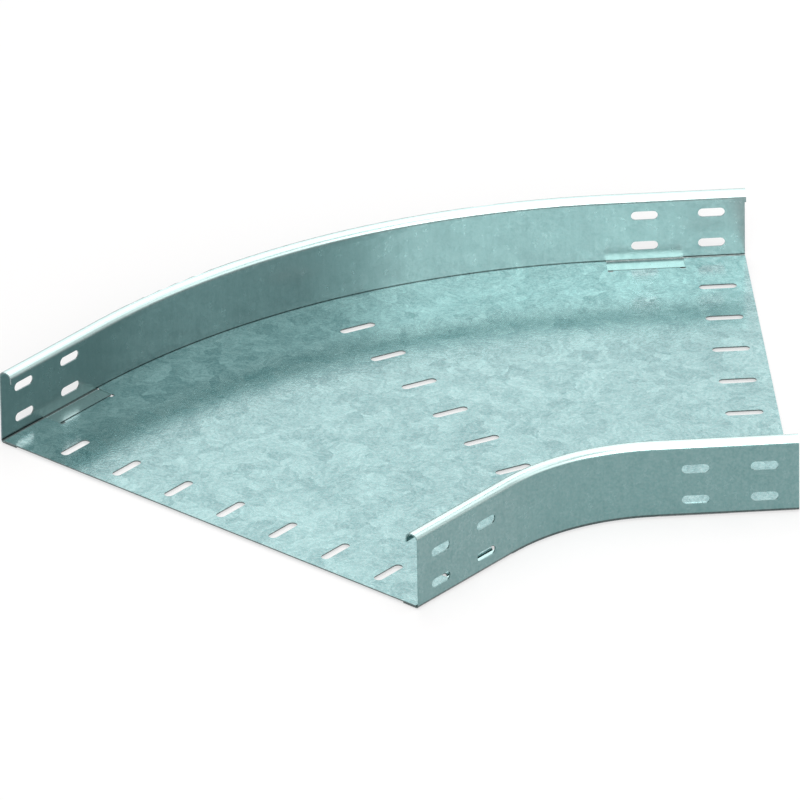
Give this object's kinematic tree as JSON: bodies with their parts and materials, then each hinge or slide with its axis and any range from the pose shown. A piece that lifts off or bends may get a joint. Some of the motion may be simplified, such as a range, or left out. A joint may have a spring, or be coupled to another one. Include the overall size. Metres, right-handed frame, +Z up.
{
  "type": "cable tray bend",
  "caption": "Flat 45 degree cable tray bend of galvanised sheet steel: a slotted floor plate held between curved side rails with rolled lips and slotted ends for splice plates.",
  "frame": {"origin": "bottom centre of the bounding box, on the plane that the bend rests on", "axes": "+X runs out of one open end along its straight rails, +Y points from the inner rail to the outer rail there, +Z is up"},
  "size_m": [0.5674, 0.5178, 0.06],
  "materials": {
    "floor_zinc": "galvanised sheet with a cloudy zinc spangle, satin",
    "rail_zinc": "galvanised sheet with a fine even grain, satin"
  },
  "bodies": {
    "root": {"floor_plate": "floor_zinc", "outer_side_rail": "rail_zinc", "inner_side_rail": "rail_zinc"}
  },
  "joints": []
}
